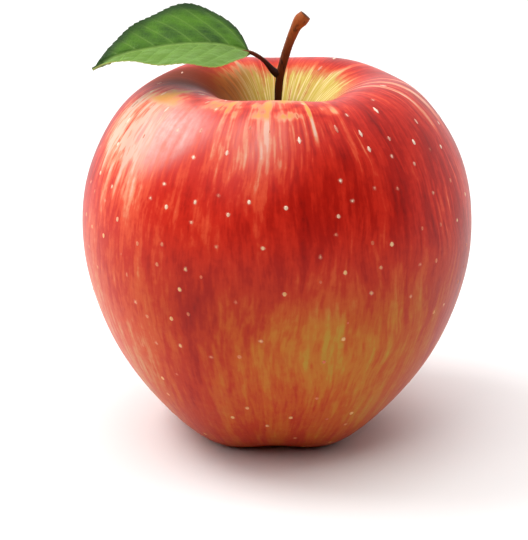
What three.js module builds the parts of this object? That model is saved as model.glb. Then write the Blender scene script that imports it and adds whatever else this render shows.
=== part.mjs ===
import * as THREE from "three";
import { NURBSCurve } from "three/addons/curves/NURBSCurve.js";

// A red-striped dessert apple that stands on the lobes around its calyx basin, with its woody stem, one
// leaf on its stalk, and the dried calyx underneath. Millimetres, +Z up. The origin is on the ground,
// under the middle of the fruit. Pieces that grow out of each other keep a gap of about 0.3.

const degree = Math.PI / 180;

// Fruit
const fruitHeight = 72.6; // ground to the crest of the shoulder
const fruitSectors = 50;
const outlineSteps = 48;
const lobes = 5;
const lobeAngle = { base: 90 * degree, shoulder: -90 * degree }; // where one lobe faces
const lobeSwell = { base: 0.01, shoulder: 0.006 }; // share of the radius
const lobeRise = { base: 0.7, shoulder: 0.4 };
const lobeReach = { base: 18, shoulder: 12 }; // how far up or down the fruit the lobes fade out
const roundnessFault = { oval: 0.004, threeSided: 0.004 }; // share of the radius
const calmRadius = 6; // the lobes fade out towards the axis
const footFlat = 0.5; // depth of each lobe that is pressed flat where the fruit rests
const cavityFloor = 59; // bottom of the hollow that the stem stands in
const basinRoof = 8; // top of the hollow around the calyx
const socketRadius = 1.7; // clears the root of the stem
const socketDepth = 2.2;

// Half outline of the fruit as B-spline control points, [radius, height]
const outlinePoints = [
  [0, cavityFloor],
  [2.2, cavityFloor],
  [6, 63],
  [11, 69],
  [18, 73.5],
  [28.5, 72],
  [38.7, 55.5],
  [40, 38.3],
  [34.5, 19.7],
  [25.8, 6.7],
  [16, -1.8],
  [9.5, 2],
  [4, basinRoof],
  [0, basinRoof],
];

// Stem: [x, z] points of its middle line, which leans to +X
const stemPoints = [
  [0, 57.4],
  [0.2, 64],
  [0.4, 71],
  [1.05, 75.3],
  [2.35, 79.6],
  [3.9, 83.4],
  [5.6, 85.5],
];
const stemRadius = { root: 1.2, waist: 0.75, tip: 1.3 };
const stemSides = 12;
const stemSteps = 20;

// Leaf stalk: it leaves the stem on the -X side
const stalkPoints = [
  [-0.72, 74.35],
  [-2.6, 76.55],
  [-5.05, 78.35],
];
const stalkRadius = { root: 0.6, waist: 0.45, tip: 0.42 };
const stalkSides = 8;
const stalkSteps = 8;

// Leaf blade: [x, y, z] points of its midrib, from the stalk to the tip
const midribPoints = [
  [-5.5, 0, 78.4],
  [-11, -1.2, 80.0],
  [-18, -2.6, 80.4],
  [-25, -4.05, 79.75],
  [-31, -5.35, 78.55],
  [-35.8, -6.5, 76.4],
];
const leafHalfWidth = 10.97;
const leafWidest = { root: 0.686, tip: 1.362 }; // powers of the outline towards each end
const leafEndHalfWidth = 0.3;
const leafThickness = 0.5;
const leafSweep = 0.05; // the margin runs ahead of the midrib, as a share of the width
const leafRise = { far: [30.7 * degree, 33.6 * degree], near: [-12.9 * degree, -7.9 * degree] };
const leafLengthSteps = 26;
const leafWidthSteps = 8;

// Calyx: five dried sepals around a tuft of dried stamens
const sepalCount = 5;
const sepalPath = [
  [2.3, 7.0],
  [3.1, 3.3],
  [5.4, 3.1],
];
const sepalHalfWidth = 1.1;
const sepalEndHalfWidth = 0.15;
const sepalThickness = 0.4;
const sepalSteps = 6;
const tuftRadius = { root: 1.2, tip: 0.8 };
const tuftHeights = { root: 7.4, tip: 4.6 };

const skin = new THREE.MeshStandardMaterial({ color: 0xb3261c, roughness: 0.3, metalness: 0 });
const bark = new THREE.MeshStandardMaterial({ color: 0x5a3a22, roughness: 0.75, metalness: 0 });
const greenBark = new THREE.MeshStandardMaterial({ color: 0x7a5a35, roughness: 0.65, metalness: 0 });
const leafGreen = new THREE.MeshStandardMaterial({ color: 0x4f8a2e, roughness: 0.45, metalness: 0 });
const driedCalyx = new THREE.MeshStandardMaterial({ color: 0x4a3524, roughness: 0.9, metalness: 0 });

function piece(name, geometry, material) {
  const mesh = new THREE.Mesh(geometry, material);
  mesh.name = name;
  return mesh;
}

// Moves every vertex of a geometry to where place() puts it
function remap(geometry, place) {
  const position = geometry.attributes.position;
  const point = new THREE.Vector3();
  for (let i = 0; i < position.count; i += 1) {
    point.fromBufferAttribute(position, i);
    const moved = place(point);
    position.setXYZ(i, moved.x, moved.y, moved.z);
  }
  return geometry;
}

function clampedSpline(points) {
  const order = 3;
  const spans = points.length - order;
  const knots = [];
  for (let i = -order; i <= spans + order; i += 1) {
    knots.push(THREE.MathUtils.clamp(i, 0, spans));
  }
  return new NURBSCurve(
    order,
    knots,
    points.map(([radius, height]) => new THREE.Vector4(radius, height, 0, 1)),
  );
}

// The lobes and the slight faults of roundness that turn the lathed form into a grown one
function grow(point) {
  const radius = Math.hypot(point.x, point.y);
  const angle = Math.atan2(point.y, point.x);
  const away = radius ** 2 / (radius ** 2 + calmRadius ** 2);
  const nearBase = Math.exp(-((point.z / lobeReach.base) ** 2));
  const nearShoulder = Math.exp(-(((fruitHeight - point.z) / lobeReach.shoulder) ** 2));
  const baseLobe = nearBase * Math.cos(lobes * (angle - lobeAngle.base));
  const shoulderLobe = nearShoulder * Math.cos(lobes * (angle - lobeAngle.shoulder));
  const swell =
    lobeSwell.base * baseLobe +
    lobeSwell.shoulder * shoulderLobe +
    roundnessFault.oval * Math.cos(2 * angle) +
    roundnessFault.threeSided * Math.cos(3 * angle);
  const rise = lobeRise.shoulder * shoulderLobe - lobeRise.base * baseLobe;
  return new THREE.Vector3(
    point.x * (1 + away * swell),
    point.y * (1 + away * swell),
    point.z + away * rise,
  );
}

function makeFruit() {
  const outline = clampedSpline(outlinePoints)
    .getPoints(outlineSteps)
    .filter((point) => point.x > socketRadius || point.y < fruitHeight / 2)
    .map((point) => new THREE.Vector2(Math.max(point.x, 0), point.y));
  const socketFloor = cavityFloor - socketDepth;
  outline.unshift(new THREE.Vector2(0, socketFloor), new THREE.Vector2(socketRadius, socketFloor));
  const geometry = new THREE.LatheGeometry(outline.reverse(), fruitSectors);
  geometry.rotateX(Math.PI / 2);
  remap(geometry, grow);
  geometry.computeBoundingBox();
  const ground = geometry.boundingBox.min.z + footFlat;
  return remap(geometry, (point) => point.setZ(Math.max(point.z - ground, 0)));
}

// A round rod along a curve, with a radius for each share of its length
function makeRod(curve, radiusAt, sides, steps) {
  const outline = [new THREE.Vector2(0, 0)];
  for (let i = 0; i <= steps; i += 1) {
    outline.push(new THREE.Vector2(radiusAt(i / steps), i / steps));
  }
  outline.push(new THREE.Vector2(0, 1));
  const frames = curve.computeFrenetFrames(steps);
  return remap(new THREE.LatheGeometry(outline, sides), (point) => {
    const step = Math.round(point.y * steps);
    return curve
      .getPointAt(step / steps)
      .addScaledVector(frames.normals[step], point.x)
      .addScaledVector(frames.binormals[step], -point.z);
  });
}

function curveThrough(points) {
  return new THREE.CatmullRomCurve3(points.map(([x, z]) => new THREE.Vector3(x, 0, z)));
}

function makeStem() {
  const { root, waist, tip } = stemRadius;
  const radiusAt = (share) => waist + (root - waist) * (1 - share) ** 8 + (tip - waist) * share ** 3;
  return makeRod(curveThrough(stemPoints), radiusAt, stemSides, stemSteps);
}

function makeStalk() {
  const { root, waist, tip } = stalkRadius;
  const radiusAt = (share) => waist + (root - waist) * (1 - share) ** 4 + (tip - waist) * share ** 4;
  return makeRod(curveThrough(stalkPoints), radiusAt, stalkSides, stalkSteps);
}

function leafOutline(share) {
  const { root, tip } = leafWidest;
  const widest = root / (root + tip);
  const width = (share / widest) ** root * ((1 - share) / (1 - widest)) ** tip;
  return Math.max(leafHalfWidth * width, leafEndHalfWidth);
}

function makeLeafBlade() {
  const midrib = new THREE.CatmullRomCurve3(midribPoints.map((point) => new THREE.Vector3(...point)));
  const up = new THREE.Vector3(0, 0, 1);
  const box = new THREE.BoxGeometry(1, 2, 1, leafLengthSteps, leafWidthSteps, 1);
  return remap(box, (point) => {
    const share = THREE.MathUtils.clamp(point.x + 0.5, 0, 1);
    const along = midrib.getTangentAt(share);
    const nearSide = new THREE.Vector3().crossVectors(up, along).normalize();
    const over = new THREE.Vector3().crossVectors(along, nearSide);
    const reach = leafOutline(share) * Math.abs(point.y);
    const [atRoot, atTip] = point.y > 0 ? leafRise.near : leafRise.far;
    const rise = THREE.MathUtils.lerp(atRoot, atTip, share) * Math.min(reach, 1);
    return midrib
      .getPointAt(share)
      .addScaledVector(nearSide, Math.sign(point.y) * reach * Math.cos(rise))
      .addScaledVector(over, reach * Math.sin(rise) + leafThickness * point.z)
      .addScaledVector(along, leafSweep * reach);
  });
}

function makeSepal() {
  const path = new THREE.QuadraticBezierCurve3(
    ...sepalPath.map(([radius, height]) => new THREE.Vector3(radius, 0, height)),
  );
  const across = new THREE.Vector3(0, 1, 0);
  const box = new THREE.BoxGeometry(1, 2, 1, sepalSteps, 2, 1);
  return remap(box, (point) => {
    const share = THREE.MathUtils.clamp(point.x + 0.5, 0, 1);
    const outward = new THREE.Vector3().crossVectors(path.getTangentAt(share), across);
    const width = THREE.MathUtils.lerp(sepalHalfWidth, sepalEndHalfWidth, share ** 1.5);
    return path
      .getPointAt(share)
      .addScaledVector(across, point.y * width)
      .addScaledVector(outward, point.z * sepalThickness);
  });
}

function makeTuft() {
  const outline = [
    new THREE.Vector2(0, tuftHeights.tip),
    new THREE.Vector2(tuftRadius.tip, tuftHeights.tip),
    new THREE.Vector2(tuftRadius.root, tuftHeights.root),
    new THREE.Vector2(0, tuftHeights.root),
  ];
  return new THREE.LatheGeometry(outline, 10).rotateX(Math.PI / 2);
}

const apple = new THREE.Group();
apple.add(piece("fruit", makeFruit(), skin));
apple.add(piece("stem", makeStem(), bark));
apple.add(piece("leaf_stalk", makeStalk(), greenBark));
apple.add(piece("leaf_blade", makeLeafBlade(), leafGreen));
apple.add(piece("stamen_tuft", makeTuft(), driedCalyx));
for (let i = 0; i < sepalCount; i += 1) {
  const sepal = piece(`sepal_${i + 1}`, makeSepal(), driedCalyx);
  sepal.rotation.z = lobeAngle.base + ((i + 0.5) * 2 * Math.PI) / sepalCount;
  apple.add(sepal);
}

export default apple;
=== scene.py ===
import math

import bpy
import numpy as np
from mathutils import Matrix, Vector, noise
from mathutils.kdtree import KDTree


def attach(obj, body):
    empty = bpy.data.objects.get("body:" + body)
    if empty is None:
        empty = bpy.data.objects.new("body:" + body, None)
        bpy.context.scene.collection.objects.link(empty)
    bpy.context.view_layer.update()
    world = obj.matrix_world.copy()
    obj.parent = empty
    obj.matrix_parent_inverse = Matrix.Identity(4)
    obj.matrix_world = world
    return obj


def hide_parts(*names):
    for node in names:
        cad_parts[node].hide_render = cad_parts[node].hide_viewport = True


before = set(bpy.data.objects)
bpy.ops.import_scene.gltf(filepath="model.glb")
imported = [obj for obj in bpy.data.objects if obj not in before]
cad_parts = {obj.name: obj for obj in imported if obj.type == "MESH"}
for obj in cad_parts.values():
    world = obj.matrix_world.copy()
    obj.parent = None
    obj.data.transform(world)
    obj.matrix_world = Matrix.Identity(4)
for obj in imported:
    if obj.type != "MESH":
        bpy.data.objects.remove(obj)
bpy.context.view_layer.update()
mm = 0.001


class Wire:  # a socket of a node tree that can be written in sums
    def __init__(self, tree, socket=None):
        self.tree = tree
        self.socket = socket

    def node(self, kind, settings=None, values=None, output=0):
        made = self.tree.nodes.new(kind)
        for name, setting in (settings or {}).items():
            setattr(made, name, setting)
        for name, value in (values or {}).items():
            socket = made.inputs[name] if isinstance(name, int) else self.pick(made.inputs, name)
            for part in value if isinstance(value, list) else [value]:
                if isinstance(part, Wire):
                    self.tree.links.new(part.socket, socket)
                else:
                    socket.default_value = part
        if not made.outputs:
            return None
        return Wire(self.tree, self.pick(made.outputs, output))

    def pick(self, sockets, name):
        shown = [socket for socket in sockets if socket.enabled]
        return shown[name] if isinstance(name, int) else next(s for s in shown if s.name == name)

    def other(self, name):  # another output of the same node
        return Wire(self.tree, self.pick(self.socket.node.outputs, name))

    def maths(self, operation, *terms):
        return self.node("ShaderNodeMath", {"operation": operation}, dict(enumerate(terms)))

    def __abs__(self):
        return self.maths("ABSOLUTE", self)

    def __add__(self, other):
        return self.maths("ADD", self, other)

    def __sub__(self, other):
        return self.maths("SUBTRACT", self, other)

    def __rsub__(self, other):
        return self.maths("SUBTRACT", other, self)

    def __mul__(self, other):
        return self.maths("MULTIPLY", self, other)

    def __truediv__(self, other):
        return self.maths("DIVIDE", self, other)

    def __pow__(self, other):
        return self.maths("POWER", self, other)

    __radd__ = __add__
    __rmul__ = __mul__

    def fade(self, low, high, start=0.0, end=1.0):  # a soft step between low and high
        values = {"Value": self, "From Min": low, "From Max": high, "To Min": start, "To Max": end}
        return self.node("ShaderNodeMapRange", {"interpolation_type": "SMOOTHSTEP"}, values)

    def mix(self, colourA, colourB):  # colourA where this wire is 0, colourB where it is 1
        values = {"Factor": self, "A": colourA, "B": colourB}
        return self.node("ShaderNodeMix", {"data_type": "RGBA"}, values)


def paint(text):  # a colour as written on a colour card
    channels = [int(text[i:i + 2], 16) / 255 for i in (0, 2, 4)]
    return (*[c / 12.92 if c < 0.04045 else ((c + 0.055) / 1.055) ** 2.4 for c in channels], 1.0)


def startMaterial(name):
    material = bpy.data.materials.new(name)
    material.use_nodes = True
    material.node_tree.nodes.clear()
    wire = Wire(material.node_tree)
    return material, wire, wire.node("ShaderNodeTexCoord", output="Object")


def endMaterial(wire, shader, bump=None, bumpHeight=0.0):
    if bump is not None:
        values = {"Distance": bumpHeight, "Height": bump}
        shader["Normal"] = wire.node("ShaderNodeBump", None, values)
    surface = wire.node("ShaderNodeBsdfPrincipled", None, shader)
    wire.node("ShaderNodeOutputMaterial", None, {"Surface": surface})


def grain(wire, vector, size, detail=2.0, roughness=0.5):  # noise with patches of about this size
    values = {"Vector": vector, "Scale": 1 / size, "Detail": detail, "Roughness": roughness}
    return wire.node("ShaderNodeTexNoise", None, values)


def stored(wire, name):
    return wire.node("ShaderNodeAttribute", {"attribute_name": name}, output="Fac")


def clampedSpline(net, count):
    net = np.array(net, float)
    order = 3
    spans = len(net) - order
    knots = np.clip(np.arange(-order, spans + order + 1), 0, spans).astype(float)
    points = []
    for t in np.linspace(0, spans, count):
        k = min(int(t), spans - 1) + order
        near = [net[k - order + j] for j in range(order + 1)]
        for level in range(1, order + 1):
            for j in range(order, level - 1, -1):
                low = knots[j + k - order]
                share = (t - low) / (knots[j + 1 + k - level] - low)
                near[j] = (1 - share) * near[j - 1] + share * near[j]
        points.append(near[order])
    return np.array(points)


def lengthAlong(line):
    return np.concatenate([[0], np.cumsum(np.linalg.norm(np.diff(line, axis=0), axis=1))])


def evenly(line, count):  # the same line with its points spread evenly by length
    lengths = lengthAlong(line)
    where = np.linspace(0, lengths[-1], count)
    return np.stack([np.interp(where, lengths, axis) for axis in np.array(line).T], axis=1)


def throughPoints(points, count):  # a smooth line through the points
    points = np.array(points, float)
    ends = np.vstack([2 * points[0] - points[1], points, 2 * points[-1] - points[-2]])
    line = []
    for a, b, c, d in zip(ends, ends[1:], ends[2:], ends[3:]):
        for t in np.linspace(0, 1, 40, endpoint=False):
            line.append(0.5 * (2 * b + (c - a) * t + (2 * a - 5 * b + 4 * c - d) * t ** 2
                               + (3 * b - a - 3 * c + d) * t ** 3))
    return evenly(np.array(line + [points[-1]]), count)


def soft(values, low, high):  # a soft step between low and high
    share = np.clip((np.asarray(values, float) - low) / (high - low), 0, 1)
    return share * share * (3 - 2 * share)


def unevenness(points, size):  # slow noise at each point, about -1 to 1
    return np.array([noise.noise(Vector(point) / size) for point in points])


def meshObject(name, vertices, faces, material):
    mesh = bpy.data.meshes.new(name)
    mesh.from_pydata([tuple(v) for v in np.asarray(vertices) * mm], [], faces)
    mesh.shade_smooth()
    mesh.materials.append(material)
    obj = bpy.data.objects.new(name, mesh)
    bpy.context.scene.collection.objects.link(obj)
    return obj


def giveAttribute(obj, name, values):
    attribute = obj.data.attributes.new(name, "FLOAT", "POINT")
    attribute.data.foreach_set("value", np.asarray(values, np.float32).ravel())


def roundFaces(rings, sides):  # a skin over rings of points, closed by one point at each end
    first, last = rings * sides, rings * sides + 1
    faces = []
    for j in range(sides):
        k = (j + 1) % sides
        faces.append((first, k, j))
        faces.append((last, (rings - 1) * sides + j, (rings - 1) * sides + k))
        for i in range(rings - 1):
            a, b = i * sides, (i + 1) * sides
            faces.append((a + j, a + k, b + k, b + j))
    return faces


def finishPiece(obj, slot, *nodes):
    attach(obj, "root")
    if nodes:
        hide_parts(*nodes)
    print(obj.name, "made,", len(obj.data.polygons), "faces")
    return obj


def startGeometry(name, inputs):
    tree = bpy.data.node_groups.new(name, "GeometryNodeTree")
    tree.interface.new_socket("Geometry", in_out="INPUT", socket_type="NodeSocketGeometry")
    for label, value in inputs.items():
        kind = "NodeSocketInt" if isinstance(value, int) else "NodeSocketFloat"
        tree.interface.new_socket(label, in_out="INPUT", socket_type=kind)
    tree.interface.new_socket("Geometry", in_out="OUTPUT", socket_type="NodeSocketGeometry")
    group = tree.nodes.new("NodeGroupInput")
    given = {socket.name: Wire(tree, socket) for socket in group.outputs if socket.name}
    return tree, Wire(tree), given


def endGeometry(wire, made, material):
    made = wire.node("GeometryNodeRealizeInstances", None, {"Geometry": made})
    made = wire.node("GeometryNodeSetMaterial", None, {"Geometry": made, "Material": material})
    wire.node("NodeGroupOutput", None, {"Geometry": made})


def bakeGeometry(obj, tree, inputs, name):  # the tree's result on obj, as a plain mesh of its own
    modifier = obj.modifiers.new(tree.name, "NODES")
    modifier.node_group = tree
    for item in tree.interface.items_tree:
        if item.in_out == "INPUT" and item.name in inputs:
            modifier[item.identifier] = inputs[item.name]
    evaluated = obj.evaluated_get(bpy.context.evaluated_depsgraph_get())
    mesh = bpy.data.meshes.new_from_object(evaluated)
    mesh.name = name
    obj.modifiers.remove(modifier)
    made = bpy.data.objects.new(name, mesh)
    bpy.context.scene.collection.objects.link(made)
    return made


def dice(wire, low, high, seed):
    values = {"Min": low, "Max": high, "Seed": seed}
    return wire.node("FunctionNodeRandomValue", {"data_type": "FLOAT"}, values)


fruit = {  # millimetres
    "outline": [(0, 59), (2.2, 59), (6, 63), (11, 69), (18, 73.5), (28.5, 72), (38.7, 55.5),
                (40, 38.3), (34.5, 19.7), (25.8, 6.7), (16, -1.8), (9.5, 2), (4, 8), (0, 8)],
    "height": 72.6,
    "middle": 36,
    "rings": 200,
    "sides": 360,
    "lobes": 5,
    "baseLobe": {"faces": math.radians(90), "swell": 0.010, "rise": -0.7, "reach": 18},
    "shoulderLobe": {"faces": math.radians(-90), "swell": 0.006, "rise": 0.4, "reach": 12},
    "oval": 0.004,
    "threeSided": 0.004,
    "calmRadius": 6,  # the lobes fade out towards the axis
    "footFlat": 0.5,
    "footBlend": 0.12,
    "dent": 0.14,
    "dentSize": 13,
    "pleat": 0.32,  # small folds in the basin, around the calyx
    "pleats": 16,
    "pleatRing": (5, 2.4),  # radius at the middle of the pleats, and how far they reach
    "rib": 0.14,  # small ribs in the stem cavity
    "ribs": 11,
    "ribRing": (8, 3.5),
    "collar": 0.5,  # the skin climbs this far up the stem
    "collarRing": (0, 1.7),
    "poreRadius": (13, 25),  # no pores nearer to the axis than the first, all of them past the second
    "poreHeight": (22, 45),  # fewer pores below
    "poreStretch": (62, 70),  # longer pores above
}


def growFruit():
    plan = fruit
    line = evenly(clampedSpline(plan["outline"], 900), plan["rings"] + 2)
    run = lengthAlong(line)
    angle = np.arange(plan["sides"]) * 2 * math.pi / plan["sides"]
    radius = np.repeat(line[1:-1, 0:1], plan["sides"], axis=1)
    height = np.repeat(line[1:-1, 1:2], plan["sides"], axis=1)
    away = radius ** 2 / (radius ** 2 + plan["calmRadius"] ** 2)
    swell = plan["oval"] * np.cos(2 * angle) + plan["threeSided"] * np.cos(3 * angle)
    rise = np.zeros_like(height)
    ends = ((plan["baseLobe"], height), (plan["shoulderLobe"], plan["height"] - height))
    for lobe, distance in ends:
        strength = np.exp(-(distance / lobe["reach"]) ** 2)
        strength = strength * np.cos(plan["lobes"] * (angle - lobe["faces"]))
        swell = swell + lobe["swell"] * strength
        rise = rise + lobe["rise"] * strength
    height = height + away * rise
    radius = radius * (1 + away * swell)
    wander = 0.7 * np.sin(3 * angle + 1) + 0.5 * np.sin(2 * angle)
    upper = height > plan["height"] / 2
    inBasin, inCavity, atStem = [np.exp(-((radius - middle) / width) ** 2) for middle, width in
                                 (plan["pleatRing"], plan["ribRing"], plan["collarRing"])]
    height = height - ~upper * inBasin * plan["pleat"] * np.cos(plan["pleats"] * angle + wander)
    height = height + upper * inCavity * plan["rib"] * np.cos(plan["ribs"] * angle + 1.5 * wander)
    height = height + upper * atStem * plan["collar"]
    points = np.stack([radius * np.cos(angle), radius * np.sin(angle), height], axis=2)
    points = points.reshape(-1, 3)
    dent = unevenness(points, plan["dentSize"]) * plan["dent"]
    points *= (1 + dent / np.linalg.norm(points - [0, 0, plan["middle"]], axis=1))[:, None]
    poles = [[0, 0, line[0][1] + plan["collar"]], [0, 0, line[-1][1]]]
    points = np.vstack([points, poles])
    points[:, 2] -= points[:, 2].min() + plan["footFlat"]
    points[:, 2] = 0.5 * (points[:, 2] + np.sqrt(points[:, 2] ** 2 + plan["footBlend"] ** 2))
    points[:, 2] -= points[:, 2].min()
    runs = np.append(np.repeat(run[1:-1], plan["sides"]), [0, run[-1]])
    return points, runs


skinLook = {
    # from the bare ground to the full blush, high and low on the fruit
    "pale": ["e0b69e", "df8a66", "dc4b2e", "c82616", "ac170c", "8a0f09"],
    "warm": ["b3882c", "bb6c20", "b94e16", "b03010", "9c1c0b", "820f07"],
    "crest": "d99c48",
    "cavity": "c8ae48",
    # painted shade: the left wall of the stem cavity, darker and more orange
    "cavityPaintedShade": "8f4608",
    "cavityCream": "efd9a0",
    # deep olive at the cavity floor: partly the skin's olive near the stem, partly painted shade
    "cavityFloor": "8f8426",
    "basin": "c3b04c",
    "paintedHighlight": ["dd5c58", "efb6ac"],  # painted highlight, pale pink: from its edge to its middle
    "russet": "8a6a2a",
    # painted shadow: the leaf's cast shadow on the shoulder, dark brown
    "leafShadowColour": "7c2c05",
    "pore": "f7d9b8",
    "roughness": 0.36,
    "fullCover": 1.12,  # how far the blush covers the ground, before each zone thins it by this much
    "thinning": {"inCavity": 1.05, "inBasin": 0.8, "creamAndHighlight": 0.78, "highlightBelowCrest": 0.38, "leftSide": 0.5,
                 "paleFrontLeft": 0.22, "gold": 0.5, "low": 0.28, "crest": 0.36, "paintedLeafShadow": -0.35},
    "firstStep": 0.12,  # the cover at which the first red shows, and how far apart the reds are
    "stepGap": 0.27,
    "stepWidth": 0.3,
    # streaks from stem to calyx: width and length in millimetres, place in the noise, detail
    "streaks": {"broad": (8, 34, 3.1, 2), "middle": (2.6, 15, 7.7, 2), "fine": (1.0, 6, 1.9, 2),
                "finest": (0.45, 2.6, 5.3, 2), "thin": (0.9, 11, 9.6, 1)},
    # thin pale streaks: turn in degrees, width and lowest point in millimetres, strength
    "rays": [(-94, 1.6, 54, 0.5), (-76, 0.7, 66, 0.9), (-63, 0.9, 60, 0.35), (-112, 1.0, 60, 0.35),
             (-20, 1.3, 62, 0.8), (-9, 1.8, 60, 0.9), (3, 1.0, 64, 0.7), (38, 1.3, 58, 0.5),
             (118, 1.5, 52, 0.5), (171, 1.2, 56, 0.5), (212, 1.0, 62, 0.5)],
}
skinZones = {  # spots on the skin: middle, inner and outer radius in millimetres, strength
    # cream patch on the upper left shoulder: partly the pale ground of the skin, partly painted
    # highlight
    "creamAndHighlight": [((-28, -12, 68), 3, 15, 1), ((-29, -20, 61), 2, 13, 0.5)],
    # painted highlight: pale pink where the gloss falls on the upper left and the front crest
    "paintedHighlight": [((-20, -21, 68), 0, 14, 1), ((-26, -22, 61), 0, 10, 0.3), ((-4, -30, 69.5), 0, 15, 0.5)],
    # pale band below the front crest: partly pale streaks of the skin, partly painted highlight
    "highlightBelowCrest": [((-2, -28, 70), 3, 18, 1)],
    # thinner blush on the front left
    "paleFrontLeft": [((-20, -27, 58), 4, 24, 1)],
    # pale streaky arcs over the right shoulder: streaks of the skin, strengthened here as a painted
    # highlight along the crest
    "highlightArcs": [((23, -4, 72), 4, 15, 1)],
    "leftSide": [((-35, -18, 30), 6, 32, 1)],
    "gold": [((22, -30, 26), 2, 32, 1), ((3, -36, 29), 2, 24, 0.7), ((-16, 31, 24), 3, 24, 0.6)],
    # painted shadow of the leaf on the shoulder, left of the stem
    "paintedLeafShadow": [((-17, 3, 72), 4, 13, 1)],
    # pale streaks at the right edge: partly streaks of the skin, partly painted sheen
    "edge": [((35, -14, 50), 4, 20, 1)],
}


def skinMaterial():
    look = skinLook
    material, wire, place = startMaterial("appleSkin")
    x = wire.node("ShaderNodeSeparateXYZ", None, {"Vector": place})
    y, z = x.other("Y"), x.other("Z")
    radius = (x * x + y * y + 1e-10) ** 0.5
    run = stored(wire, "run")
    bend = (grain(wire, place, 18 * mm, 1.0) - 0.5) * 0.12

    def streak(name):  # light and dark, about -1 to 1
        width, length, offset, detail = look["streaks"][name]
        around = 36 / width
        values = {"X": (x / radius + bend) * around, "Y": (y / radius + bend) * around,
                  "Z": run / (length * mm) + offset}
        vector = wire.node("ShaderNodeCombineXYZ", None, values)
        return (grain(wire, vector, 1.0, detail) - 0.5) * 2

    def near(middle, inner, outer):  # 1 within inner of a place on the skin, 0 past outer
        values = {0: place, 1: tuple(c * mm for c in middle)}
        settings = {"operation": "DISTANCE"}
        distance = wire.node("ShaderNodeVectorMath", settings, values, output="Value")
        return distance.fade(outer * mm, inner * mm)

    def zone(name):
        return sum(near(*spot) * strength for *spot, strength in skinZones[name])

    def ray(turn, width, lowest):  # a thin pale streak running down from the shoulder
        turn = math.radians(turn)
        across, ahead = x / radius + bend * 0.3, y / radius + bend * 0.3
        aside = ahead * math.cos(turn) - across * math.sin(turn)
        facing = (x * math.cos(turn) + y * math.sin(turn)).fade(0, 5 * mm)
        line = (abs(aside) * 30 * mm).fade(width * mm, 0.15 * width * mm)
        return line * facing * z.fade(lowest * mm, 70 * mm)

    broad, middle, fine, finest, thin = [streak(name) for name in look["streaks"]]
    blotch = (grain(wire, place, 4.5 * mm, 2.0) - 0.5) * 2
    mottle = (grain(wire, place, 1.2 * mm, 3.0, 0.6) - 0.5) * 2

    back = y.fade(-4 * mm, 6 * mm)
    frontBowl = radius.fade(16 * mm, 9 * mm)
    bowl = frontBowl + back * (radius.fade(20 * mm, 12 * mm) - frontBowl)
    crest = z.fade(70.8 * mm, 71.8 * mm) * y.fade(-6 * mm, -12 * mm) * x.fade(16 * mm, 8 * mm)
    zones = {name: zone(name) for name in skinZones}
    # the cream patch keeps to the front: partly pale ground, partly painted highlight
    zones["creamAndHighlight"] = zones["creamAndHighlight"] * y.fade(-1 * mm, -8 * mm)
    # the band below the crest keeps to the front: partly pale streaks, partly painted highlight
    zones["highlightBelowCrest"] = zones["highlightBelowCrest"] * y.fade(-21 * mm, -25 * mm)
    zones["inCavity"] = z.fade(50 * mm, 56 * mm) * bowl
    zones["inBasin"] = z.fade(16 * mm, 8 * mm) * radius.fade(20 * mm, 8 * mm)
    zones["low"] = z.fade(36 * mm, 6 * mm)
    zones["crest"] = crest
    inCavity, inBasin, creamAndHighlight, gold = [zones[name] for name in ("inCavity", "inBasin", "creamAndHighlight", "gold")]
    paintedLeafShadow, paintedHighlight, leftSide = [zones[name] for name in ("paintedLeafShadow", "paintedHighlight", "leftSide")]
    shoulder = z.fade(58 * mm, 68 * mm)

    cover = look["fullCover"]
    for name, strength in look["thinning"].items():
        cover = cover - zones[name] * strength
    for turn, width, lowest, strength in look["rays"]:
        cover = cover - ray(turn, width, lowest) * strength
    patchy = 1 + creamAndHighlight * 1.2 + inCavity * 0.4 + gold * 0.3
    cover = cover + (broad * (0.35 - gold * 0.2) + (middle * 0.4 + fine * 0.32) * patchy)
    cover = cover + finest * 0.14 + mottle * 0.16
    cover = cover + crest * blotch * 1.4 + thin * (zones["highlightArcs"] + creamAndHighlight + zones["highlightBelowCrest"]) * 0.7
    # pale streaks on the shoulder; at the right edge the pale streaks are partly painted sheen
    cover = cover - thin.fade(0.3, 0.5) * shoulder * 0.35 - thin.fade(0.0, 0.5) * zones["edge"] * 0.4

    lowness = z.fade(56 * mm, 34 * mm)
    warmth = lowness * (1 - leftSide * 0.6) + inCavity * 0.8 + paintedLeafShadow * 0.6
    colour = warmth.mix(paint(look["pale"][0]), paint(look["warm"][0]))
    colour = crest.mix(colour, paint(look["crest"]))
    # painted shade on the left wall of the stem cavity
    shaded = x.fade(-1 * mm, -9 * mm) * 0.9
    wall = shaded.mix(paint(look["cavity"]), paint(look["cavityPaintedShade"]))
    wall = (thin.fade(-0.1, 0.4) * (1 - shaded) * 0.8).mix(wall, paint(look["cavityCream"]))
    # darker olive towards the cavity floor, partly painted shade
    wall = radius.fade(10 * mm, 5 * mm).mix(wall, paint(look["cavityFloor"]))
    colour = inCavity.mix(colour, wall)
    colour = inBasin.mix(colour, paint(look["basin"]))
    for step, (pale, warm) in enumerate(zip(look["pale"][1:], look["warm"][1:])):
        start = look["firstStep"] + look["stepGap"] * step
        blush = warmth.mix(paint(pale), paint(warm))
        colour = cover.fade(start, start + look["stepWidth"]).mix(colour, blush)
    # painted highlight, pale pink, broken up by the streaks
    highlightColour = paintedHighlight.fade(0.15, 0.7).mix(*[paint(colour) for colour in look["paintedHighlight"]])
    colour = (paintedHighlight * (0.7 + middle * 0.6 + fine * 0.4 + mottle * 0.3)).mix(colour, highlightColour)
    pore = stored(wire, "poreGap").fade(0.65 * mm, 0.2 * mm)
    colour = (pore * stored(wire, "porePale") * 0.6).mix(colour, paint(look["pore"]))
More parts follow.
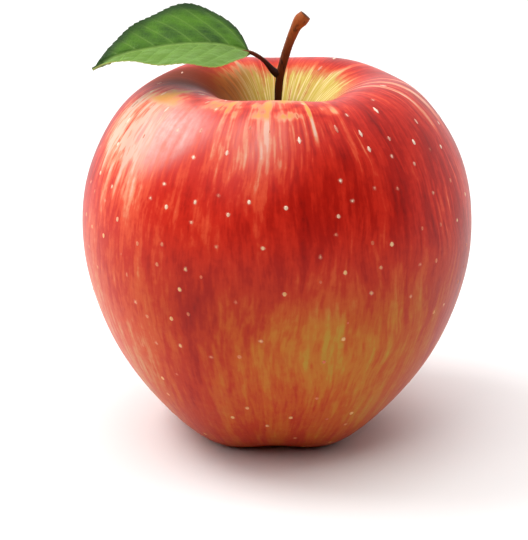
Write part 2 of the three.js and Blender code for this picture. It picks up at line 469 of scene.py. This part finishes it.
    # painted shadow: dark brown where the leaf shades the shoulder
    colour = (paintedLeafShadow * 0.85).mix(colour, paint(look["leafShadowColour"]))
    russet = (inCavity * (radius.fade(9 * mm, 3 * mm) + mottle * 0.5 + fine * 0.4)).fade(0.45, 1.1)
    colour = (russet * 0.6).mix(colour, paint(look["russet"]))

    gloss = look["roughness"] + mottle * 0.04
    gloss = gloss + russet * 0.3 + paintedLeafShadow * 0.35 + inCavity * 0.15
    bump = mottle * 0.4 + fine * 0.4 + grain(wire, place, 0.35 * mm) * 0.5
    shader = {"Base Color": colour, "Roughness": gloss, "Specular IOR Level": 0.15}
    endMaterial(wire, shader, bump, 0.03 * mm)
    return material


def makeFruit():
    points, runs = growFruit()
    faces = roundFaces(fruit["rings"], fruit["sides"])
    obj = meshObject("fruitSkin", points, faces, skinMaterial())
    obj.data.flip_normals()
    giveAttribute(obj, "run", runs * mm)
    radius = np.hypot(points[:, 0], points[:, 1])
    inner, outer = fruit["poreRadius"]
    share = np.clip((radius - inner) / (outer - inner), 0, 1)
    giveAttribute(obj, "dots", share * (0.4 + 0.6 * soft(points[:, 2], *fruit["poreHeight"])))
    giveAttribute(obj, "stretch", 1.15 + 1.2 * soft(points[:, 2], *fruit["poreStretch"]))
    return finishPiece(obj, "apple_skin", "fruit")


fruitSkin = makeFruit()


lenticels = {  # the pale raised pores of the skin
    "Density": 40000.0,  # most that a square metre holds
    "Gap": 3.3 * mm,
    "Size": 0.32 * mm,
    "Stand": 0.15,  # height as a share of the width
    "Seed": 4,
    "Segments": 10,
    "Rings": 4,
}
lenticelLook = {"dull": "cc5c38", "low": "e2ae6c", "high": "f6ddc8"}


def poreMaterial():
    look = lenticelLook
    material, wire, place = startMaterial("lenticel")
    speckle = grain(wire, place, 0.3 * mm)
    pale = (stored(wire, "pale") + speckle * 0.4 - 0.2).fade(0.05, 0.85)
    height = wire.node("ShaderNodeSeparateXYZ", None, {"Vector": place}, output="Z")
    light = height.fade(42 * mm, 66 * mm).mix(paint(look["low"]), paint(look["high"]))
    shader = {"Base Color": pale.mix(paint(look["dull"]), light), "Roughness": speckle * 0.2 + 0.45}
    endMaterial(wire, shader, speckle, 0.02 * mm)
    return material


def named(wire, name):  # a stored value, read in a geometry tree
    return wire.node("GeometryNodeInputNamedAttribute", {"data_type": "FLOAT"}, {"Name": name})


def lenticelTree(material):
    tree, wire, given = startGeometry("lenticelTree", lenticels)
    spread = wire.node("GeometryNodeDistributePointsOnFaces", {"distribute_method": "POISSON"},
                       {"Mesh": given["Geometry"], "Distance Min": given["Gap"],
                        "Density Max": given["Density"], "Density Factor": named(wire, "dots"),
                        "Seed": given["Seed"]})
    upright = wire.node("FunctionNodeAlignRotationToVector", {"axis": "Z"},
                        {"Vector": spread.other("Normal")})
    along = wire.node("FunctionNodeAlignRotationToVector", {"axis": "Y", "pivot_axis": "Z"},
                      {"Rotation": upright, "Vector": (0, 0, 1)})
    ball = wire.node("GeometryNodeMeshUVSphere", None,
                     {"Segments": given["Segments"], "Rings": given["Rings"], "Radius": 1.0})
    ball = wire.node("GeometryNodeSetShadeSmooth", None, {"Geometry": ball})
    stretch = named(wire, "stretch")
    wide = given["Size"] * dice(wire, 0.5, 1.3, given["Seed"])
    shape = wire.node("ShaderNodeCombineXYZ", None,
                      {"X": wide / stretch ** 0.5, "Y": wide * stretch, "Z": wide * given["Stand"]})
    dots = wire.node("GeometryNodeInstanceOnPoints", None,
                     {"Points": spread, "Instance": ball, "Rotation": along, "Scale": shape})
    pale = dice(wire, 0.0, 1.0, given["Seed"] + 5)
    settings = {"data_type": "FLOAT", "domain": "INSTANCE"}
    dots = wire.node("GeometryNodeStoreNamedAttribute", settings,
                     {"Geometry": dots, "Name": "pale", "Value": pale})
    endGeometry(wire, dots, material)
    return tree


def makeLenticels():
    tree = lenticelTree(poreMaterial())
    pores = bakeGeometry(fruitSkin, tree, lenticels, "lenticels")
    perPore = lenticels["Segments"] * (lenticels["Rings"] - 1) + 2
    corners = np.array([v.co for v in pores.data.vertices]).reshape(-1, perPore, 3)
    finder = KDTree(len(corners))
    for index, centre in enumerate(corners.mean(axis=1)):
        finder.insert(centre, index)
    finder.balance()
    nearest = [finder.find(v.co) for v in fruitSkin.data.vertices]
    pale = [pores.data.attributes["pale"].data[index * perPore].value for _, index, _ in nearest]
    giveAttribute(fruitSkin, "poreGap", [distance for _, _, distance in nearest])
    giveAttribute(fruitSkin, "porePale", pale)
    return finishPiece(pores, "apple_skin")


makeLenticels()


def makeRod(name, path, radii, plan, material):
    # a grown rod: rings of points across the path, lumpy, with an end cap that is dished
    sides, capRings, dish = plan["sides"], plan["capRings"], plan["dish"]
    lump = lumps(**plan["lumps"])
    tangent = np.gradient(path, axis=0)
    tangent /= np.linalg.norm(tangent, axis=1)[:, None]
    side = np.array([0.0, 1.0, 0.0])
    angle = np.arange(sides) * 2 * math.pi / sides
    rings, along = [], []
    for i, centre in enumerate(path):
        share = i / (len(path) - 1)
        across = np.cross(side, tangent[i])
        radius = radii[i] + lump(share, angle)
        ring = np.outer(radius * np.cos(angle), across) + np.outer(radius * np.sin(angle), side)
        rings.append(centre + ring)
        along.append(share)
    edge = rings[-1] - path[-1]
    for k in range(1, capRings):
        share = 1 - k / capRings
        rings.append(path[-1] + edge * share - tangent[-1] * dish * (1 - share ** 2))
        along.append(1 + 0.1 * (1 - share))
    points = np.vstack(rings + [path[0], path[-1] - tangent[-1] * dish])
    obj = meshObject(name, points, roundFaces(len(rings), sides), material)
    giveAttribute(obj, "along", np.append(np.repeat(along, sides), [0, 1.1]))
    return obj


def lumps(seed, size, height, fibre):  # slow lumps and fine lengthways fibres
    def lump(share, angle):
        values = []
        for a in angle:
            place = Vector((math.cos(a) * 1.2, math.sin(a) * 1.2, share * size + seed))
            ridge = Vector((math.cos(a) * 5, math.sin(a) * 5, share * size * 0.7 + seed))
            values.append(noise.noise(place) * height + noise.noise(ridge) * fibre)
        return np.array(values)
    return lump


stem = {  # millimetres, leaning to +X
    "points": [(0, 57.4), (0.2, 64), (0.4, 71), (1.05, 75.3), (2.35, 79.6), (3.9, 83.4), (5.6, 85.5)],
    "root": 1.35,
    "waist": 0.72,
    "tip": 1.0,
    "knob": 0.42,  # how far the end swells
    "rootLength": 0.07,  # shares of the stem's length
    "knobPlace": 0.955,
    "knobLength": 0.045,
    "lumps": {"seed": 3, "size": 9, "height": 0.10, "fibre": 0.05},
    "rings": 170,
    "sides": 56,
    "capRings": 10,
    "dish": 0.3,  # how far the cut end is hollowed
    "bark": ("120602", "5e2a0e", "a05020", "4a2510"),  # low, middle, high, cut end; the near-black low colour is partly painted shade where the stem sits in the cavity
    "dark": "0d0401",
    "lastColour": 0.985,  # the share of the length where the last colour begins
}


def barkMaterial(name, plan):
    material, wire, place = startMaterial(name)
    along = stored(wire, "along")
    drawn = wire.node("ShaderNodeMapping", None, {"Vector": place, "Scale": (1.0, 1.0, 0.16)})
    fibre = grain(wire, drawn, 0.28 * mm, 4.0, 0.6)
    patch = grain(wire, place, 1.6 * mm, 3.0)
    low, middle, high, tip = [paint(colour) for colour in plan["bark"]]
    dark = paint(plan["dark"])
    # darker towards the low end; on the stem this is partly painted shade in the cavity
    shade = along.fade(0.2, 0.65).mix(low, middle)
    shade = (along + (patch - 0.5) * 0.2).fade(0.62, 0.95).mix(shade, high)
    shade = along.fade(plan["lastColour"], 1.03).mix(shade, tip)
    shade = along.fade(1.06, 1.09).mix(shade, dark)
    shade = ((fibre - 0.5) * 3 + (patch - 0.5) * 2).fade(0.0, 1.1).mix(shade, dark)
    shader = {"Base Color": shade, "Roughness": fibre * 0.3 + 0.38, "Specular IOR Level": 0.15}
    endMaterial(wire, shader, fibre + patch * 0.4, 0.10 * mm)
    return material


def makeStem():
    plan = stem
    path = throughPoints([(x, 0, z) for x, z in plan["points"]], plan["rings"])
    share = np.linspace(0, 1, plan["rings"])
    radii = plan["waist"] + (plan["root"] - plan["waist"]) * np.exp(-(share / plan["rootLength"]) ** 2)
    radii += (plan["tip"] - plan["waist"]) * share ** 2.2
    radii += plan["knob"] * np.exp(-((share - plan["knobPlace"]) / plan["knobLength"]) ** 2)
    obj = makeRod("stemWood", path, radii, plan, barkMaterial("stemBark", plan))
    return finishPiece(obj, "stem_bark", "stem")


makeStem()


stalk = {  # millimetres: from inside the stem to under the leaf's midrib
    "points": [(0.3, 0, 73.7), (-0.72, 0, 74.45), (-2.6, 0, 76.55), (-5.05, 0, 78.05),
               (-8.0, -0.5, 78.4)],
    "root": 0.85,
    "waist": 0.44,
    "tip": 0.22,
    "rootLength": 0.2,
    "lumps": {"seed": 11, "size": 6, "height": 0.05, "fibre": 0.03},
    "rings": 90,
    "sides": 32,
    "capRings": 6,
    "dish": 0.0,
    "bark": ("2c0d05", "5e2410", "86502a", "6f8a38"),  # low, middle, high, green end
    "dark": "1c0703",
    "lastColour": 0.8,
}


def makeStalk():
    plan = stalk
    path = throughPoints(plan["points"], plan["rings"])
    share = np.linspace(0, 1, plan["rings"])
    radii = plan["waist"] + (plan["root"] - plan["waist"]) * np.exp(-(share / plan["rootLength"]) ** 2)
    radii += (plan["tip"] - plan["waist"]) * share ** 3
    obj = makeRod("leafStalk", path, radii, plan, barkMaterial("stalkBark", plan))
    return finishPiece(obj, "stalk_bark", "leaf_stalk")


makeStalk()


leaf = {  # millimetres
    "midrib": [(-5.5, 0, 78.4), (-11, -1.2, 80.0), (-18, -2.6, 80.4), (-25, -4.05, 79.75),
               (-31, -5.35, 78.55), (-35.8, -6.5, 76.4)],
    "halfWidth": 10.97,
    "rootPower": 0.686,
    "tipPower": 1.362,
    "farRise": (30.7, 33.6),  # degrees, at the root and at the tip
    "nearRise": (-12.9, -7.9),
    "sweep": 0.05,
    "rows": 240,
    "columns": 34,  # on each side of the midrib
    "veins": 8,
    "veinSlant": 0.62,  # a side vein runs this far ahead for each millimetre outwards
    "veinCurl": 0.02,
    "groove": 0.12,
    "pillow": 0.17,  # how far the blade swells between the veins
    "wave": 0.35,
    "waves": 17,  # radians of it along the blade
    "tooth": 0.26,
    "toothPitch": 1.25,
    "thickness": 0.26,
    "veinDepth": 0.16,  # how far the veins stand out below
    "midribDepth": (0.75, 0.25),  # the same for the midrib, at the root and at the tip
}


def leafSurface():
    plan = leaf
    line = throughPoints(plan["midrib"], plan["rows"])
    share = np.linspace(0, 1, plan["rows"])[:, None]
    tangent = np.gradient(line, axis=0)
    tangent /= np.linalg.norm(tangent, axis=1)[:, None]
    nearSide = np.cross([0, 0, 1], tangent)
    nearSide /= np.linalg.norm(nearSide, axis=1)[:, None]
    over = np.cross(tangent, nearSide)
    length = lengthAlong(line)[-1]
    widest = plan["rootPower"] / (plan["rootPower"] + plan["tipPower"])
    width = (share / widest) ** plan["rootPower"] * ((1 - share) / (1 - widest)) ** plan["tipPower"]
    width = np.maximum(plan["halfWidth"] * width, 0.3)
    across = np.linspace(-1, 1, 2 * plan["columns"] + 1)[None, :]
    out = np.abs(across)
    tooth = (share * length / plan["toothPitch"] + (across > 0) * 0.5) % 1
    reach = width * out + plan["tooth"] * (tooth - 0.5) * out ** 10 * soft(width, 0.5, 4)
    far = plan["farRise"][0] + (plan["farRise"][1] - plan["farRise"][0]) * share
    near = plan["nearRise"][0] + (plan["nearRise"][1] - plan["nearRise"][0]) * share
    rise = np.radians(np.where(across > 0, near, far)) * soft(reach, -0.8, 0.8)
    sideways = np.sign(across) * reach * np.cos(rise)
    upwards = reach * np.sin(rise)
    place = share * length - plan["veinSlant"] * reach - plan["veinCurl"] * reach ** 2
    pitch = length * 0.93 / plan["veins"]
    phase = place / pitch + np.where(across > 0, 0.35, 0.0)
    veinGap = np.abs(phase - np.round(phase)) * pitch * 0.85
    veinGap = np.where(np.round(phase) < 0, 2.0, veinGap)
    inner = 1 - out ** 5
    upwards = upwards + plan["pillow"] * soft(veinGap, 0, 1.5) * inner * soft(reach, 0.2, 2.0)
    upwards = upwards - plan["groove"] * np.exp(-(veinGap / 0.22) ** 2) * inner
    upwards = upwards - 2 * plan["groove"] * np.exp(-(reach / 0.45) ** 2)
    ripple = np.sin(share * plan["waves"] + np.where(across > 0, 0.5, 2.0)) * soft(width, 2, 8)
    upwards = upwards + plan["wave"] * out ** 3 * ripple
    middle = line[:, None, :] + sideways[..., None] * nearSide[:, None, :]
    middle = middle + upwards[..., None] * over[:, None, :]
    middle = middle + plan["sweep"] * reach[..., None] * tangent[:, None, :]
    return middle, veinGap, reach, width - width * out, across + 0 * share, share + 0 * across


def makeLeaf():
    plan = leaf
    top, veinGap, midGap, edgeGap, across, share = leafSurface()
    normal = np.cross(np.gradient(top, axis=0), np.gradient(top, axis=1))
    normal /= np.linalg.norm(normal, axis=2)[..., None]
    depth = plan["thickness"] * soft(edgeGap, -0.2, 1.2)
    depth = depth + plan["veinDepth"] * np.exp(-(veinGap / 0.24) ** 2) * soft(edgeGap, 0, 3)
    root, tip = plan["midribDepth"]
    depth = depth + (root + (tip - root) * share) * np.exp(-(midGap / 0.42) ** 2)
    bottom = top - normal * (depth + 0.05)[..., None]
    rows, columns = plan["rows"], 2 * plan["columns"] + 1
    grid = np.arange(rows * columns).reshape(rows, columns)
    below = grid + rows * columns
    faces = []
    for i in range(rows - 1):
        for j in range(columns - 1):
            faces.append((grid[i, j], grid[i + 1, j], grid[i + 1, j + 1], grid[i, j + 1]))
            faces.append((below[i, j], below[i, j + 1], below[i + 1, j + 1], below[i + 1, j]))
    rim = [*grid[0, :-1], *grid[:-1, -1], *grid[-1, :0:-1], *grid[:0:-1, 0]]
    for a, b in zip(rim, rim[1:] + rim[:1]):
        faces.append((a, b, b + rows * columns, a + rows * columns))
    faces = [tuple(int(v) for v in face) for face in faces]
    points = np.vstack([top.reshape(-1, 3), bottom.reshape(-1, 3)])
    obj = meshObject("leafBlade", points, faces, leafMaterial())
    for name, values in (("veinGap", veinGap), ("midGap", midGap), ("edgeGap", edgeGap)):
        giveAttribute(obj, name, np.tile(values.ravel(), 2) * mm)
    giveAttribute(obj, "across", np.tile(across.ravel(), 2))
    giveAttribute(obj, "under", np.repeat([0, 1], rows * columns))
    return finishPiece(obj, "leaf_green", "leaf_blade")


leafLook = {
    "deep": "1a3f01",
    "fresh": "4b7a07",
    "near": "6a8b33",  # painted sheen: the half on the front side, lighter as if catching more light
    # painted sheen in lengthways streaks, on the far and the near half
    "sheenStreakFar": "5c8c16",
    "sheenStreakNear": "93b86e",
    "haze": "5f8a2a",
    "vein": "7f9f48",
    "midrib": "8fae58",
    "cell": "5d8c34",
    # painted shade along the margin of the far half
    "farEdgeShade": "0f2f05",
    "nearEdge": "b5a84a",
    "fleck": "1f4a0c",
    "under": "93ab74",
}


def leafMaterial():
    look = {name: paint(colour) for name, colour in leafLook.items()}
    material, wire, place = startMaterial("leafSkin")
    veinGap, midGap, edgeGap = [stored(wire, name) for name in ("veinGap", "midGap", "edgeGap")]
    across, under = stored(wire, "across"), stored(wire, "under")
    cells = wire.node("ShaderNodeTexVoronoi", {"feature": "DISTANCE_TO_EDGE"},
                      {"Vector": place, "Scale": 1 / (0.7 * mm)})
    cloud = grain(wire, place, 5 * mm, 3.0)
    fleck = grain(wire, place, 0.5 * mm, 3.0, 0.6)
    # lengthways streaks of painted sheen
    drawn = wire.node("ShaderNodeMapping", None, {"Vector": place, "Scale": (0.12, 1.0, 1.0)})
    sheenStreak = grain(wire, drawn, 0.8 * mm, 3.0).fade(0.42, 0.7)
    nearHalf = across.fade(-0.12, 0.2)
    # painted shade: a dark band along the far half's margin
    farRimShade = edgeGap.fade(3.0 * mm, 0.2 * mm) * across.fade(0.2, -0.1)
    nearRim = edgeGap.fade(0.35 * mm, 0.05 * mm) * across.fade(-0.1, 0.2)
    colour = (cloud * 1.4 - 0.2).fade(0.1, 0.9).mix(look["deep"], look["fresh"])
    # painted sheen: the front half of the leaf is made lighter
    colour = (nearHalf * 0.75).mix(colour, look["near"])
    # painted sheen streaks
    colour = (sheenStreak * 0.3).mix(colour, nearHalf.mix(look["sheenStreakFar"], look["sheenStreakNear"]))
    colour = (veinGap.fade(1.5 * mm, 0.1 * mm) * 0.16).mix(colour, look["haze"])
    colour = (veinGap.fade(0.30 * mm, 0.05 * mm) * 0.28).mix(colour, look["vein"])
    colour = (midGap.fade(0.6 * mm, 0.15 * mm) * 0.6).mix(colour, look["midrib"])
    colour = (cells.fade(0.10, 0.02) * 0.14).mix(colour, look["cell"])
    # painted shade along the far margin
    colour = (farRimShade * 0.85).mix(colour, look["farEdgeShade"])
    colour = (nearRim * 0.7).mix(colour, look["nearEdge"])
    colour = ((fleck - 0.5) * 2).fade(0.25, 0.7, 0.0, 0.3).mix(colour, look["fleck"])
    colour = (under * 0.75).mix(colour, look["under"])
    gloss = under * 0.25 + fleck * 0.2 + 0.36
    bump = cells.fade(0.0, 0.2) * 0.45 + fleck * 0.4
    shader = {"Base Color": colour, "Roughness": gloss, "Specular IOR Level": 0.15}
    endMaterial(wire, shader, bump, 0.06 * mm)
    return material


makeLeaf()


calyx = {  # millimetres
    "count": 5,
    "faces": fruit["baseLobe"]["faces"],
    "path": [(1.9, 8.2), (2.2, 6.6), (2.35, 5.2), (2.8, 4.0), (3.7, 3.2), (4.8, 3.1), (5.5, 3.9),
             (5.5, 4.8)],
    "halfWidth": 1.05,
    "thickness": 0.26,
    "rows": 40,
    "columns": 12,
    "seed": 6,
    "sepal": ("3a2715", "9a8058"),  # dark and pale
    "wool": ("b5a583", "e4dabf"),
    "stamen": ("1f1008", "7d5730"),
}
wool = {"Density": 4.5e7, "Length": 0.55 * mm, "Thick": 0.02 * mm, "Seed": 2}
stamens = {"Density": 2.0e7, "Gap": 0.26 * mm, "Length": 2.5 * mm, "Thick": 0.07 * mm,
           "Anther": 0.2 * mm, "Seed": 5}
stamenBed = {"radius": 1.2, "half": 0.45, "height": 7.6, "rings": 9, "sides": 24}  # millimetres


def calyxMaterial(name, dark, pale):
    material, wire, place = startMaterial(name)
    fibre = grain(wire, place, 0.35 * mm, 4.0, 0.6)
    patch = grain(wire, place, 1.2 * mm, 2.0)
    colour = ((fibre - 0.5) * 2.5 + patch).fade(0.1, 1.1).mix(paint(dark), paint(pale))
    shader = {"Base Color": colour, "Roughness": 0.85, "Specular IOR Level": 0.25}
    endMaterial(wire, shader, fibre, 0.12 * mm)
    return material


def makeSepal(index, material, random):
    plan = calyx
    path = throughPoints([(r, 0, z) for r, z in plan["path"]], plan["rows"])
    share = np.linspace(0, 1, plan["rows"])[:, None]
    across = np.linspace(-1, 1, plan["columns"] + 1)[None, :]
    path[:, 0] += random.uniform(-0.25, 0.25) * share[:, 0] ** 2
    path[:, 2] += random.uniform(-0.25, 0.5) * share[:, 0] ** 2
    tangent = np.gradient(path, axis=0)
    tangent /= np.linalg.norm(tangent, axis=1)[:, None]
    outward = np.cross(tangent, [0, 1, 0])
    width = plan["halfWidth"] * (1 - share) ** 0.8 * (1 + 0.6 * share) + 0.05
    fold = 0.42 * across ** 2 * width + 0.1 * np.sin(share * 9 + index) * across
    crinkle = 0.05 * np.sin(share * 34 + 5 * across + index)
    twist = random.uniform(-0.35, 0.35) * share ** 2
    middle = (path[:, None, :] + (width * (across + twist))[..., None] * np.array([0, 1, 0])
              + (fold + crinkle)[..., None] * outward[:, None, :])
    half = plan["thickness"] / 2 * (1 - 0.6 * across ** 2)
    outer = middle + half[..., None] * outward[:, None, :]
    inner = middle - half[..., None] * outward[:, None, :]
    turn = plan["faces"] + (index + 0.5) * 2 * math.pi / plan["count"] + random.uniform(-0.06, 0.06)
    cosine, sine = math.cos(turn), math.sin(turn)
    spin = np.array([[cosine, sine, 0], [-sine, cosine, 0], [0, 0, 1]])
    ring = np.concatenate([outer, inner[:, ::-1]], axis=1)
    points = np.vstack([(ring @ spin).reshape(-1, 3), [path[0] @ spin, path[-1] @ spin]])
    faces = roundFaces(plan["rows"], 2 * (plan["columns"] + 1))
    return meshObject(f"sepal{index + 1}", points, faces, material)


def woolTree(material):
    tree, wire, given = startGeometry("woolTree", wool)
    spread = wire.node("GeometryNodeDistributePointsOnFaces", {"distribute_method": "RANDOM"},
                       {"Mesh": given["Geometry"], "Density": given["Density"], "Seed": given["Seed"]})
    lean = wire.node("FunctionNodeRandomValue", {"data_type": "FLOAT_VECTOR"},
                     {"Min": (-0.9, -0.9, -0.9), "Max": (0.9, 0.9, 0.9), "Seed": given["Seed"]})
    values = {0: spread.other("Normal"), 1: lean}
    aim = wire.node("ShaderNodeVectorMath", {"operation": "ADD"}, values)
    turned = wire.node("FunctionNodeAlignRotationToVector", {"axis": "Z"}, {"Vector": aim})
    hair = wire.node("GeometryNodeMeshCone", None, {"Vertices": 4, "Radius Top": 0.0,
                     "Radius Bottom": given["Thick"], "Depth": given["Length"]}, output="Mesh")
    size = dice(wire, 0.5, 1.2, given["Seed"] + 1)
    hairs = wire.node("GeometryNodeInstanceOnPoints", None,
                      {"Points": spread, "Instance": hair, "Rotation": turned, "Scale": size})
    endGeometry(wire, hairs, material)
    return tree


def stamenTree(material):
    tree, wire, given = startGeometry("stamenTree", stamens)
    spread = wire.node("GeometryNodeDistributePointsOnFaces", {"distribute_method": "POISSON"},
                       {"Mesh": given["Geometry"], "Distance Min": given["Gap"],
                        "Density Max": given["Density"], "Seed": given["Seed"]})
    place = wire.node("GeometryNodeInputPosition")
    splay = wire.node("ShaderNodeVectorMath", {"operation": "MULTIPLY_ADD"},
                      {0: place, 1: (240.0, 240.0, 0.0), 2: (0.0, 0.0, -1.0)})
    lean = wire.node("FunctionNodeRandomValue", {"data_type": "FLOAT_VECTOR"},
                     {"Min": (-0.18, -0.18, 0.0), "Max": (0.18, 0.18, 0.0),
                      "Seed": given["Seed"] + 1})
    aim = wire.node("ShaderNodeVectorMath", {"operation": "ADD"}, {0: splay, 1: lean})
    turned = wire.node("FunctionNodeAlignRotationToVector", {"axis": "Z"}, {"Vector": aim})
    values = {"Vertices": 5, "Radius Top": given["Thick"] * 0.6, "Radius Bottom": given["Thick"],
              "Depth": given["Length"]}
    filament = wire.node("GeometryNodeMeshCone", None, values, output="Mesh")
    anther = wire.node("GeometryNodeMeshUVSphere", None,
                       {"Segments": 6, "Rings": 4, "Radius": given["Anther"]})
    tip = wire.node("ShaderNodeCombineXYZ", None, {"Z": given["Length"]})
    anther = wire.node("GeometryNodeTransform", None,
                       {"Geometry": anther, "Translation": tip, "Scale": (0.8, 1.2, 1.6)})
    stamen = wire.node("GeometryNodeJoinGeometry", None, {"Geometry": [filament, anther]})
    stamen = wire.node("GeometryNodeSetShadeSmooth", None, {"Geometry": stamen})
    size = dice(wire, 0.7, 1.05, given["Seed"] + 2)
    spray = wire.node("GeometryNodeInstanceOnPoints", None,
                      {"Points": spread, "Instance": stamen, "Rotation": turned, "Scale": size})
    tuft = wire.node("GeometryNodeJoinGeometry", None, {"Geometry": [given["Geometry"], spray]})
    endGeometry(wire, tuft, material)
    return tree


def makeStamens():
    plan = stamenBed
    turn = np.linspace(0, math.pi, plan["rings"] + 2)[1:-1, None]
    angle = np.arange(plan["sides"])[None, :] * 2 * math.pi / plan["sides"]
    across = plan["radius"] * np.sin(turn)
    height = plan["height"] - plan["half"] * np.cos(turn) + 0 * angle
    points = np.stack([across * np.cos(angle), across * np.sin(angle), height], axis=2)
    poles = [[0, 0, plan["height"] - plan["half"]], [0, 0, plan["height"] + plan["half"]]]
    points = np.vstack([points.reshape(-1, 3), poles])
    material = calyxMaterial("driedStamen", *calyx["stamen"])
    bed = meshObject("stamenBed", points, roundFaces(plan["rings"], plan["sides"]), material)
    tuft = bakeGeometry(bed, stamenTree(material), stamens, "stamenTuft")
    bpy.data.objects.remove(bed)
    return finishPiece(tuft, "dried_calyx", "stamen_tuft")


def makeCalyx():
    random = np.random.default_rng(calyx["seed"])
    dried = calyxMaterial("driedSepal", *calyx["sepal"])
    hair = woolTree(calyxMaterial("calyxWool", *calyx["wool"]))
    for index in range(calyx["count"]):
        sepal = makeSepal(index, dried, random)
        inputs = {**wool, "Seed": wool["Seed"] + index}
        hairs = bakeGeometry(sepal, hair, inputs, f"sepalWool{index + 1}")
        finishPiece(sepal, "dried_calyx", f"sepal_{index + 1}")
        finishPiece(hairs, "dried_calyx")
    makeStamens()


makeCalyx()


floor = {
    "half": 6000,  # millimetres
    "colours": ("f4f3f2", "f8f7f6"),
    "glowFrom": 0.4,  # metres from the middle, where the far floor starts to glow softly, and
    "glowTo": 1.3,  # where it glows most, so that it stays as pale as the backdrop
    "glow": 0.5,
}


def makeFloor():
    plan = floor
    material, wire, place = startMaterial("studioFloor")
    cloud = grain(wire, place, 160 * mm)
    settings = {"operation": "LENGTH"}
    distance = wire.node("ShaderNodeVectorMath", settings, {0: place}, output="Value")
    glow = distance.fade(plan["glowFrom"], plan["glowTo"], 0.0, plan["glow"])
    glow = glow.mix(paint("000000"), paint("ffffff"))
    low, high = [paint(colour) for colour in plan["colours"]]
    shader = {"Base Color": cloud.mix(low, high), "Roughness": 0.9,
              "Specular IOR Level": 0.1, "Emission Color": glow, "Emission Strength": 1.0}
    endMaterial(wire, shader)
    half = plan["half"]
    corners = [(-half, -half, 0), (half, -half, 0), (half, half, 0), (-half, half, 0)]
    meshObject("floor", corners, [(0, 1, 2, 3)], material)


lights = {  # turn is degrees from the front towards +X, rise is above the horizon
    "key": {"turn": -104, "rise": 53, "distance": 0.9, "size": (0.42, 0.36), "power": 4.1},
    "fill": {"turn": -45, "rise": 50, "distance": 1.1, "size": (0.8, 0.8), "power": 4.3},
    "top": {"turn": 40, "rise": 80, "distance": 1.0, "size": (0.7, 0.7), "power": 4.0},
}
surroundings = {"front": 0.0, "back": 1.2, "from": -0.45, "to": 0.35}


def makeLights():
    for name, plan in lights.items():
        data = bpy.data.lights.new(name, "AREA")
        data.shape = "RECTANGLE"
        data.size, data.size_y = plan["size"]
        data.energy = plan["power"]
        turn, rise = math.radians(plan["turn"]), math.radians(plan["rise"])
        level = math.cos(rise)
        away = Vector((math.sin(turn) * level, -math.cos(turn) * level, math.sin(rise)))
        lamp = bpy.data.objects.new(name, data)
        lamp.location = Vector((0, 0, 40 * mm)) + away * plan["distance"]
        lamp.rotation_euler = away.to_track_quat("Z", "Y").to_euler()
        bpy.context.scene.collection.objects.link(lamp)
    plan = surroundings
    world = bpy.data.worlds.new("studio")
    world.use_nodes = True
    world.node_tree.nodes.clear()
    wire = Wire(world.node_tree)
    direction = wire.node("ShaderNodeTexCoord")
    depth = wire.node("ShaderNodeSeparateXYZ", None, {"Vector": direction}, output="Y")
    strength = depth.fade(plan["from"], plan["to"], plan["front"], plan["back"])
    light = wire.node("ShaderNodeBackground", None, {"Color": (1, 1, 1, 1), "Strength": strength})
    wire.node("ShaderNodeOutputWorld", None, {"Surface": light})
    bpy.context.scene.world = world


cameraPlan = {
    "lens": 117.3,
    "distance": 360 * mm,
    "rise": math.radians(19),
    "target": (0, 0, 35 * mm),
    "aimLeft": 2.5 * mm,  # the camera looks this far left of and below its target
    "aimBelow": 2.1 * mm,
}


def makeCamera():
    plan = cameraPlan
    data = bpy.data.cameras.new("camera")
    data.lens = plan["lens"]
    camera = bpy.data.objects.new("camera", data)
    target = Vector(plan["target"])
    sine, cosine = math.sin(plan["rise"]), math.cos(plan["rise"])
    camera.location = target + Vector((0, -cosine, sine)) * plan["distance"]
    aim = target + Vector((-plan["aimLeft"], 0, 0)) - Vector((0, sine, cosine)) * plan["aimBelow"]
    camera.rotation_euler = (camera.location - aim).to_track_quat("Z", "Y").to_euler()
    bpy.context.scene.collection.objects.link(camera)
    bpy.context.scene.camera = camera


makeFloor()
makeLights()
makeCamera()
bpy.context.scene.view_settings.view_transform = "Standard"
print("stage made")
